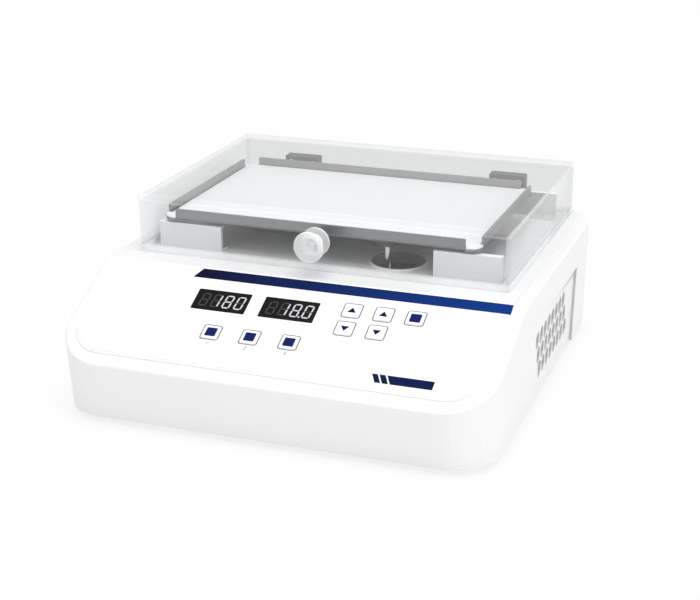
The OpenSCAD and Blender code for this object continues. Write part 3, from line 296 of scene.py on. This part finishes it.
paintNodes(housingWhite, "upper_housing")
paintNodes(floorWhite, "chamber_floor")
paintNodes(filmWhite, "control_overlay")
paintNodes(keyWhite, *[name for name in nodes if name.startswith("key_") and name != "key_switches"])
paintNodes(smokedBlack, "display_windows")
paintNodes(mouldedBlack, "display_modules", "key_switches", "mains_inlet", "switch_frame", "fuse_holder",
           "power_rocker")
paintNodes(clampBlack, "hinge_clamps")
paintNodes(rubberBlack, "rubber_feet", "drive_belt")
paintNodes(matWhite, "tray_mat")
paintNodes(guardShadedPaint, "front_guard_left", "front_guard_right")
paintNodes(backGuardShadedPaint, "back_guard")
paintNodes(hubBlack, "pin_hubs")
paintNodes(hingePaint, "hinge_base_leaves", "hinge_lid_leaves")
paintNodes(sheetPaint, "bottom_plate")
paintNodes(motorPaint, "drive_motor")
paintNodes(boardGreen, "control_board", "power_supply")
paintNodes(pinBrass, "inlet_pins")
paintNodes(plateAluminium, "drive_plate", "drive_posts", "drive_bearing_housing", "idler_bearing_housings",
           "driven_pulley", "motor_pulley")
paintNodes(trayBrushed, "tray")
paintNodes(pinPolished, "drive_pin", "idler_crank_front", "idler_crank_back", "idler_crank_left")
paintNodes(bearingSteel, "drive_bearings", "idler_bearings", "pin_bearings")
paintNodes(crankSteel, "drive_crank")
paintNodes(screwSteel, "base_screws", "guard_screws", "board_screws", "drive_screws", "hinge_screws",
           "knob_screw", "lid_screws", "hub_screws", "hinge_pins")
paintNodes(knobClear, "lid_knob")

# Painted shade on the walls of the four holes in the chamber floor and on the idler cranks' arms below their
# pins, and the guards' upper edges painted lighter than their shaded faces
shade = {
    "holes": [
        ((0.052, -0.0148), 0.0211),
        ((0.052, 0.1117), 0.0211),
        ((-0.082, 0.0517), 0.0211),
        ((0.0, 0.0517), 0.0207),
    ],
    "holeShadeColor": (0.17, 0.17, 0.172),
    "armTop": 0.0725,
    "armShadeColor": (0.03, 0.03, 0.032),
    "guardTop": 0.1183,
    "guardTopLitColor": (0.93, 0.932, 0.935),
}
# Shade under the top edge and at the back end of the vent pockets, which are deeper to the back
pocket = {
    "front": -0.034,
    "back": 0.101,
    "top": 0.0695,
    "endLine": 0.00073,
    "drop": 0.0082,
    "soft": 0.0007,
    "margin": 0.0002,
    "share": 0.8,
    "color": (0.48, 0.48, 0.485),
}
pocketMiddle = (pocket["front"] + pocket["back"]) / 2
deeper = housingWhite.past(1, pocketMiddle, pocket["back"] - pocketMiddle)
edgeHeight = housingWhite.coordinate(2) + deeper * pocket["drop"]
underEdge = deeper * housingWhite.over(edgeHeight, pocket["top"], pocket["soft"])
atEnd = housingWhite.past(1, pocket["back"] - pocket["endLine"])
inside = ((1.0 - housingWhite.above(pocket["top"] + pocket["margin"]))
          * (1.0 - housingWhite.past(1, pocket["back"] + pocket["margin"])))
housingWhite.overlay(underEdge.larger(atEnd) * inside * pocket["share"], pocket["color"])
# Painted shade: dark discs on the floor at the holes, darkening their walls
for centre, radius in shade["holes"]:
    floorWhite.overlay(floorWhite.near(centre, radius), shade["holeShadeColor"])
# Painted shade: all pinPolished parts, the drive pin too, near black below armTop
pinPolished.overlay(1.0 - pinPolished.above(shade["armTop"]), shade["armShadeColor"])
# Painted light: the guards' top edges lighter than their shaded faces
for paint in (guardShadedPaint, backGuardShadedPaint):
    paint.overlay(paint.above(shade["guardTop"]), shade["guardTopLitColor"])
print("finishes made:", len(bpy.data.materials))


# Building pieces

sharpAngle = math.radians(35)


def bevelEdges(mesh, width):
    bmesh.ops.bevel(mesh, geom=mesh.edges[:], offset=width, affect="EDGES", segments=2, profile=0.5,
                    material=-1)


def boxMesh(size, middle):
    mesh = bmesh.new()
    bmesh.ops.create_cube(mesh, size=1.0)
    bmesh.ops.scale(mesh, vec=size, verts=mesh.verts)
    bmesh.ops.translate(mesh, vec=middle, verts=mesh.verts)
    return mesh


def addPiece(name, mesh, finish, body, smooth=True, matrix=None):
    # the mesh takes its place here, and its object stays at the origin
    if matrix is not None:
        bmesh.ops.transform(mesh, matrix=matrix, verts=mesh.verts)
    bmesh.ops.recalc_face_normals(mesh, faces=mesh.faces)
    data = bpy.data.meshes.new(name)
    mesh.to_mesh(data)
    mesh.free()
    for face in data.polygons:
        face.use_smooth = smooth
    if smooth:
        data.set_sharp_from_angle(angle=sharpAngle)
    data.materials.append(finish.material)
    piece = bpy.data.objects.new(name, data)
    bpy.context.scene.collection.objects.link(piece)
    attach(piece, body)
    return piece


# The cover's five glued sheets, with frosted cut edges
cover = {
    "sheet": 0.004,
    "edge": 0.0002,
    "glue": 0.00002,
    "footRise": 0.0048,
    "glueFront": 0.0085,
}
coverLow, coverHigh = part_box("lid_cover")
footZ = coverLow.z + cover["footRise"]
topClear = clearFinish("topClear", 0.925, 0.02, 0.08)
frontClear = clearFinish("frontClear", 0.99, 0.008, 0.06, foot=0.35, footZ=footZ)
sideClear = clearFinish("sideClear", 0.975, 0.17, 0.1, foot=0.55, footZ=footZ)
backClear = clearFinish("backClear", 0.9, 0.03, 0.08, foot=0.3, footZ=footZ)
edgeFrost = clearFinish("edgeFrost", 0.995, 0.2, 0.3, slantShare=0.1)


def sheetPiece(name, low, high, finish, clearSides=(), glueY=None):
    # a flat sheet between two corners; its thin sides are frosted, but for those listed as (axis, sign),
    # and in front of glueY it is as clear as the front sheet
    size = Vector(high) - Vector(low)
    mesh = boxMesh(size, (Vector(low) + Vector(high)) / 2)
    thin = min(range(3), key=lambda axis: size[axis])
    bevelEdges(mesh, cover["edge"])
    for face in mesh.faces:
        listed = any(face.normal[axis] * sign > 0.5 for axis, sign in clearSides)
        face.material_index = 0 if listed or abs(face.normal[thin]) > 0.9 else 1
    if glueY is not None:
        bmesh.ops.bisect_plane(mesh, geom=mesh.verts[:] + mesh.edges[:] + mesh.faces[:],
                               plane_co=(0, glueY, 0), plane_no=(0, 1, 0))
        for face in mesh.faces:
            if face.calc_center_median().y < glueY and face.material_index == 0:
                face.material_index = 2
    piece = addPiece(name, mesh, finish, "lid")
    piece.data.materials.append(edgeFrost.material)
    piece.data.materials.append(frontClear.material)
    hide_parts("lid_cover")


t, g = cover["sheet"], cover["glue"]
x0, y0, z0 = coverLow
x1, y1, z1 = coverHigh
sheetPiece("cover_top", (x0, y0, z1 - t), (x1, y1, z1), topClear, [(1, -1)], y0 + cover["glueFront"])
sheetPiece("cover_front", (x0, y0, z0), (x1, y0 + t, z1 - t - g), frontClear, [(0, 1), (0, -1), (2, 1)])
sheetPiece("cover_back", (x0, y1 - t, z0), (x1, y1, z1 - t - g), backClear)
sheetPiece("cover_left", (x0, y0 + t + g, z0), (x0 + t, y1 - t - g, z1 - t - g), sideClear, [(1, -1)])
sheetPiece("cover_right", (x1 - t, y0 + t + g, z0), (x1, y1 - t - g, z1 - t - g), sideClear, [(1, -1)])

# Folded lip along the top of each guard, painted lighter than the guard's face as painted light on its top
guardLip = {
    "depth": 0.003,
    "thick": 0.0012,
    "round": 0.0004,
    "wall": 0.003,
}


def lipPiece(node, wallY):
    low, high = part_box(node)
    depth, thick = guardLip["depth"], guardLip["thick"]
    middle = ((low.x + high.x) / 2, wallY + depth / 2, high.z - thick / 2)
    mesh = boxMesh((high.x - low.x, depth, thick), middle)
    bevelEdges(mesh, guardLip["round"])
    addPiece(node + "_lip", mesh, lipLitPaint, "housing")


for node in ("front_guard_left", "front_guard_right"):
    lipPiece(node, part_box(node)[0].y + guardLip["wall"])
lipPiece("back_guard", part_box("back_guard")[1].y)

# The panel's own frame: x to the right, y down the slope, z out of the face
panel = {
    "run": 0.0987,
    "tilt": math.radians(25.5),
    "film": 0.0004,
    "proud": 0.00006,
    "windowDrop": 0.0001,
}
housingLow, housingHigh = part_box("upper_housing")
creaseY = housingLow.y + panel["run"]
deckZ = housingHigh.z
panelMatrix = (Matrix.Translation((0, creaseY, deckZ)) @ Matrix.Rotation(panel["tilt"], 4, "X")
               @ Matrix.Diagonal((1, -1, 1, 1)))


def flatOutline(points, thickness):
    mesh = bmesh.new()
    corners = [mesh.verts.new((x, y, 0)) for x, y in points]
    face = mesh.faces.new(corners)
    made = bmesh.ops.extrude_face_region(mesh, geom=[face])
    top = [item for item in made["geom"] if isinstance(item, bmesh.types.BMVert)]
    bmesh.ops.translate(mesh, verts=top, vec=(0, 0, thickness))
    return mesh


def roundedPoints(side, radius):
    # a square with round corners
    steps = 5
    reach = side / 2 - radius
    points = []
    for index, (sx, sy) in enumerate([(1, 1), (-1, 1), (-1, -1), (1, -1)]):
        for step in range(steps + 1):
            angle = math.pi / 2 * (index + step / steps)
            points.append((sx * reach + radius * math.cos(angle), sy * reach + radius * math.sin(angle)))
    return points


def panelPiece(name, mesh, finish, x=0.0, v=0.0, w=panel["film"], body="housing"):
    # a flat print at its place on the panel
    place = panelMatrix @ Matrix.Translation((x, v, w))
    addPiece(name, mesh, finish, body, smooth=False, matrix=place)


# Printed blue band across the top of the film
band = {
    "left": -0.0835,
    "right": 0.1594,
    "top": 0.0019,
    "bottom": 0.0117,
    "slant": 0.0053,
    "dark": (0.003, 0.004, 0.025),
    "middle": (0.003, 0.018, 0.112),
    "bright": (0.001, 0.031, 0.2),
}
blueBand = Finish("blueBand", band["middle"], 0.36, Specular_IOR_Level=0.03)
along = blueBand.past(0, (band["left"] + band["right"]) / 2, (band["right"] - band["left"]) / 2)
blueBand.feed("Base Color", blueBand.add("ShaderNodeValToRGB", {"stops": [
    (0.0, band["dark"]), (0.55, band["middle"]), (1.0, band["bright"])]}, {"Fac": along}))
blueBand.emboss(blueBand.noise(blueBand.place(), 1400.0), 0.03)

bandPoints = [
    (band["left"], band["top"]),
    (band["right"], band["top"]),
    (band["right"], band["bottom"]),
    (band["left"] - band["slant"], band["bottom"]),
]
panelPiece("panelBand", flatOutline(bandPoints, panel["proud"]), blueBand)

# Lower bar with two slanted strokes before it
markNavy = mottledFinish("markNavy", (0.003, 0.009, 0.058), 0.4, grain=1800.0, bump=0.03, tint=0.1,
                         Specular_IOR_Level=0.03)
lowerBars = {
    "panelBar": [(0.0891, 0.0834), (0.1237, 0.0834), (0.1237, 0.0913), (0.0932, 0.0913)],
    "panelStrokeLeft": [(0.0778, 0.0834), (0.0821, 0.0834), (0.0862, 0.0913), (0.0819, 0.0913)],
    "panelStrokeRight": [(0.0833, 0.0834), (0.0878, 0.0834), (0.0919, 0.0913), (0.0874, 0.0913)],
}
for barName, corners in lowerBars.items():
    panelPiece(barName, flatOutline(corners, panel["proud"]), markNavy)

# Key marks, printed outlines and plain numbers
keys = {
    "x": 0.0448,
    "pitch": 0.0242,
    "v": 0.0268,
    "drop": 0.0183,
    "programX": -0.0524,
    "programPitch": 0.0307,
    "programV": 0.0653,
    "opening": 0.0137,
    "corner": 0.0021,
    "rise": 0.0006,
    "mark": 0.0083,
    "markCorner": 0.0009,
    "arrowWide": 0.8,
    "arrowFoot": 0.52,
    "arrowTip": 0.66,
    "line": 0.0006,
}
markBlue = mottledFinish("markBlue", (0.006, 0.015, 0.105), 0.4, grain=1800.0, bump=0.03, tint=0.1,
                         Specular_IOR_Level=0.03)
lineGrey = mottledFinish("lineGrey", (0.12, 0.125, 0.145), 0.4, grain=1800.0, bump=0.03, tint=0.1)
keyPlaces = {
    "key_time_up": (keys["x"], keys["v"], "up"),
    "key_time_down": (keys["x"], keys["v"] + keys["drop"], "down"),
    "key_speed_up": (keys["x"] + keys["pitch"], keys["v"], "up"),
    "key_speed_down": (keys["x"] + keys["pitch"], keys["v"] + keys["drop"], "down"),
    "key_start": (keys["x"] + 2 * keys["pitch"], keys["v"], "square"),
}
for number in range(3):
    keyPlaces[f"key_program_{number + 1}"] = (keys["programX"] + number * keys["programPitch"],
                                              keys["programV"], "square")


def outlineRing(side, radius, line):
    mesh = flatOutline(roundedPoints(side, radius), panel["proud"])
    caps = [face for face in mesh.faces if len(face.verts) > 4]
    bmesh.ops.inset_region(mesh, faces=caps, thickness=line, use_boundary=True)
    inner = [face for face in mesh.faces if len(face.verts) > 4]
    loops = [edge for face in inner for edge in face.edges]
    bmesh.ops.delete(mesh, geom=inner, context="FACES_ONLY")
    bmesh.ops.bridge_loops(mesh, edges=loops)
    return mesh


def arrowPoints(sign):
    # a triangle that points down the slope with sign 1 and up it with -1
    half = keys["mark"] / 2
    wide = half * keys["arrowWide"]
    foot = -sign * half * keys["arrowFoot"]
    return [(-wide, foot), (wide, foot), (0, sign * half * keys["arrowTip"])]


capTop = panel["film"] + keys["rise"]
ringSide = keys["opening"] + 2 * keys["line"]
marks = {
    "square": (roundedPoints(keys["mark"], keys["markCorner"]), markBlue),
    "up": (arrowPoints(-1), markNavy),
    "down": (arrowPoints(1), markNavy),
}
for keyName, (x, v, kind) in keyPlaces.items():
    points, finish = marks[kind]
    mark = flatOutline(points, panel["proud"])
    panelPiece(keyName + "_mark", mark, finish, x, v, capTop, keyName)
    ring = outlineRing(ringSide, keys["corner"], keys["line"])
    panelPiece(keyName + "_outline", ring, lineGrey, x, v)

# Display digits: seven bars each, the first digit dim
digits = {
    "x": -0.0561,
    "pitch": 0.0543,
    "v": 0.0334,
    "step": 0.0095,
    "width": 0.0054,
    "height": 0.0122,
    "stroke": 0.00115,
    "lean": 0.09,
    "texts": (" 180", " 18.0"),
    "point": 0.0014,
}
digitLit = Finish("digitLit", (0.46, 0.47, 0.48), 0.4, Emission_Strength=0.16)
digitSpeckle = digitLit.noise(digitLit.place(), 300.0) * 0.15
digitLit.feed("Emission Color", digitLit.blendColors(digitSpeckle, (0.95, 0.97, 1.0, 1),
                                                     (0.8, 0.85, 0.95, 1)))
digitDim = mottledFinish("digitDim", (0.055, 0.057, 0.06), 0.4, grain=1500.0, bump=0.03, tint=0.2,
                         Specular_IOR_Level=0.05)
segmentsLit = {"0": "abcdef", "1": "bc", "2": "abged", "3": "abgcd", "8": "abcdefg", " ": ""}


def segmentPoints(name, shape):
    w, h, s = shape["width"] / 2, shape["height"] / 2, shape["stroke"]
    level = {"a": -h, "g": 0.0, "d": h}
    if name in level:
        y = level[name]
        points = [(-w + s * 0.2, y), (-w + s * 0.7, y - s / 2), (w - s * 0.7, y - s / 2), (w - s * 0.2, y),
                  (w - s * 0.7, y + s / 2), (-w + s * 0.7, y + s / 2)]
    else:
        x = w if name in "bc" else -w
        top, bottom = (-h, 0.0) if name in "bf" else (0.0, h)
        points = [(x, top + s * 0.2), (x + s / 2, top + s * 0.7), (x + s / 2, bottom - s * 0.7),
                  (x, bottom - s * 0.2), (x - s / 2, bottom - s * 0.7), (x - s / 2, top + s * 0.7)]
    return [(x - shape["lean"] * y, y) for x, y in points]


def digitMesh(character, lit, shape=digits):
    mesh = bmesh.new()
    for name in "abcdefg":
        if (name in segmentsLit[character]) != lit:
            continue
        part = flatOutline(segmentPoints(name, shape), panel["proud"])
        data = bpy.data.meshes.new("segment")
        part.to_mesh(data)
        part.free()
        mesh.from_mesh(data)
        bpy.data.meshes.remove(data)
    return mesh


windowW = panel["film"] - panel["windowDrop"]
for window in range(2):
    text = digits["texts"][window]
    windowX = digits["x"] + window * digits["pitch"]
    if "." in text:
        before = text.index(".") - 1
        x = windowX + (before - 1) * digits["step"] - digits["lean"] * digits["height"] / 2
        point = flatOutline(roundedPoints(digits["point"], digits["point"] * 0.3), panel["proud"])
        panelPiece(f"display_{window + 1}_point", point, digitLit, x,
                   digits["v"] + digits["height"] / 2, windowW)
    for place, character in enumerate(text.replace(".", "")):
        x = windowX + (place - 1.5) * digits["step"]
        for lit, finish, word in ((True, digitLit, "lit"), (False, digitDim, "dim")):
            mesh = digitMesh(character, lit)
            if not mesh.verts:
                mesh.free()
                continue
            panelPiece(f"display_{window + 1}_digit_{place + 1}_{word}", mesh, finish, x,
                       digits["v"], windowW)

# Plain numbers below the program keys
numerals = {
    "drop": 0.0108,
    "width": 0.0016,
    "height": 0.0031,
    "stroke": 0.0005,
    "lean": 0.0,
}
for number in range(3):
    x, v, kind = keyPlaces[f"key_program_{number + 1}"]
    panelPiece(f"program_numeral_{number + 1}", digitMesh(str(number + 1), True, numerals), lineGrey,
               x, v + numerals["drop"])
print("panel dressed")

# Studio: floor, backdrop light and camera
studio = {
    "cameraPlace": (0.4016, -1.08665, 0.4786),
    "yaw": 0.34876,
    "pitch": 0.35046,
    "roll": -0.00329,
    "lens": 1538.38 * 36 / 700,
    "sensor": 36,
    "clipStart": 0.01,
    "floorHalf": 6.0,
    "fill": 0.53,
    "glowNear": 0.8,
    "glowReach": (0.3, 0.8),
    "lamps": [
        ("topLamp", (0.1, -0.1, 1.6), (0.0, 0.0, 0.05), 1.6, 18.0),
        ("rightLamp", (1.7, -0.5, 0.8), (0.0, 0.0, 0.08), 1.2, 11.0),
        ("frontLamp", (-0.7, -1.9, 0.7), (0.0, 0.0, 0.05), 1.4, 7.5),
    ],
}

floorMesh = bmesh.new()
bmesh.ops.create_grid(floorMesh, x_segments=2, y_segments=2, size=studio["floorHalf"])
floorData = bpy.data.meshes.new("studioFloor")
floorMesh.to_mesh(floorData)
floorMesh.free()
floorPiece = bpy.data.objects.new("studioFloor", floorData)
bpy.context.scene.collection.objects.link(floorPiece)


def seenRays(bench):
    # 1 where the camera, a gloss or a clear sheet looks straight at the backdrop
    rays = bench.add("ShaderNodeLightPath").socket.node.outputs
    camera, gloss, through = (Wire(bench, rays[name]) for name in
                              ("Is Camera Ray", "Is Glossy Ray", "Is Transmission Ray"))
    return camera.larger(gloss).larger(through)


# the floor glows white for the camera, all of it far out, and keeps a soft share of the object's shadow
floorFinish = Finish("studioFloorWhite", (0.9, 0.9, 0.9), 0.9)
glow = floorFinish.add("ShaderNodeEmission", {}, {"Color": (1, 1, 1, 1), "Strength": 1.0})
farOut = floorFinish.add("ShaderNodeVectorMath", {"operation": "LENGTH"}, {0: floorFinish.place()}, output=1)
glowShare = floorFinish.add("ShaderNodeMapRange", {}, {
    "Value": farOut, "From Min": studio["glowReach"][0], "From Max": studio["glowReach"][1],
    "To Min": studio["glowNear"], "To Max": 1.0})
floorFinish.mixOut(seenRays(floorFinish) * glowShare, Wire(floorFinish, floorFinish.shader.outputs[0]), glow)
floorData.materials.append(floorFinish.material)

world = bpy.data.worlds.new("studioWorld")
bpy.context.scene.world = world
world.use_nodes = True
sky = Bench(world.node_tree)
background = sky.tree.nodes["Background"]
background.inputs["Color"].default_value = (1, 1, 1, 1)
strength = seenRays(sky) * (1.0 - studio["fill"]) + studio["fill"]
sky.tree.links.new(strength.socket, background.inputs["Strength"])

for lampName, place, target, side, power in studio["lamps"]:
    lampData = bpy.data.lights.new(lampName, "AREA")
    lampData.size = side
    lampData.energy = power
    lamp = bpy.data.objects.new(lampName, lampData)
    bpy.context.scene.collection.objects.link(lamp)
    lamp.location = place
    lamp.rotation_mode = "QUATERNION"
    lamp.rotation_quaternion = (Vector(target) - Vector(place)).to_track_quat("-Z", "Y")

cameraData = bpy.data.cameras.new("studioCamera")
cameraData.lens = studio["lens"]
cameraData.sensor_width = studio["sensor"]
cameraData.clip_start = studio["clipStart"]
camera = bpy.data.objects.new("studioCamera", cameraData)
bpy.context.scene.collection.objects.link(camera)
camera.location = studio["cameraPlace"]
yaw, pitch = studio["yaw"], studio["pitch"]
forward = Vector((-math.sin(yaw) * math.cos(pitch), math.cos(yaw) * math.cos(pitch), -math.sin(pitch)))
camera.rotation_mode = "QUATERNION"
camera.rotation_quaternion = (forward.to_track_quat("-Z", "Y")
                              @ Matrix.Rotation(studio["roll"], 4, "Z").to_quaternion())
bpy.context.scene.camera = camera
bpy.context.scene.view_settings.view_transform = "Standard"
print("studio ready")
